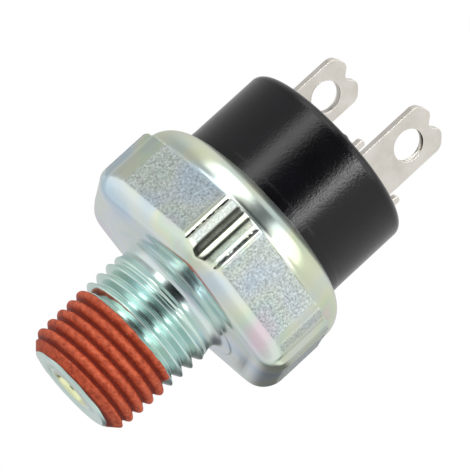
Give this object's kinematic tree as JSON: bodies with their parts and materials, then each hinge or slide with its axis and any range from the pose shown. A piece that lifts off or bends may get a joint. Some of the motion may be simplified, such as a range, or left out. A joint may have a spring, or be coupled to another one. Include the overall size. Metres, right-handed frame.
{
  "type": "oil pressure sender",
  "caption": "Oil pressure sender: taper-threaded steel stem and crimped hex cup, black moulded cap and blade terminals, with a diaphragm switch inside.",
  "frame": {"origin": "centre of the face at the threaded end", "axes": "+Z along the axis from the threaded end to the terminals; X runs through both blades, whose flat sides face along X"},
  "size_m": [0.0298, 0.0302, 0.0466],
  "materials": {
    "zinc_steel": "zinc plated, clear passivated",
    "red_sealant": "satin dried sealant",
    "black_rubber": "matte",
    "polyimide_film": "smooth film",
    "plain_steel": "plain",
    "black_moulding": "satin moulded",
    "grey_moulding": "moulded",
    "tinned_brass": "tin plated",
    "silver": "silver",
    "brass": "plain",
    "white_moulding": "moulded",
    "copper_strip": "plain copper alloy",
    "spring_steel": "drawn wire",
    "black_resin": "cast resin"
  },
  "bodies": {
    "sender_body": {"steel_base": "zinc_steel", "thread_sealant": "red_sealant", "diaphragm_gasket": "black_rubber", "diaphragm": "polyimide_film", "support_plate": "plain_steel", "cap_seal": "black_rubber", "terminal_cap": "black_moulding", "contact_base": "grey_moulding", "right_terminal": "tinned_brass", "left_terminal": "tinned_brass", "right_fixed_contact": "silver", "left_fixed_contact": "silver", "terminal_rivets": "brass", "contact_spring": "spring_steel", "spring_seat": "brass", "screw_insert": "brass", "adjusting_screw": "brass", "adjuster_seal": "black_resin"},
    "contact_carriage": {"plunger": "white_moulding", "contact_bridge": "copper_strip", "right_moving_contact": "silver", "left_moving_contact": "silver"}
  },
  "joints": [
    {"name": "contact_lift", "type": "slide", "parent": "sender_body", "child": "contact_carriage", "axis": [0, 0, 1], "range_m": [0, 0.0006], "stiffness_N_per_m": 3000, "springref_m": -0.0008, "deforming": ["contact_spring"]}
  ]
}
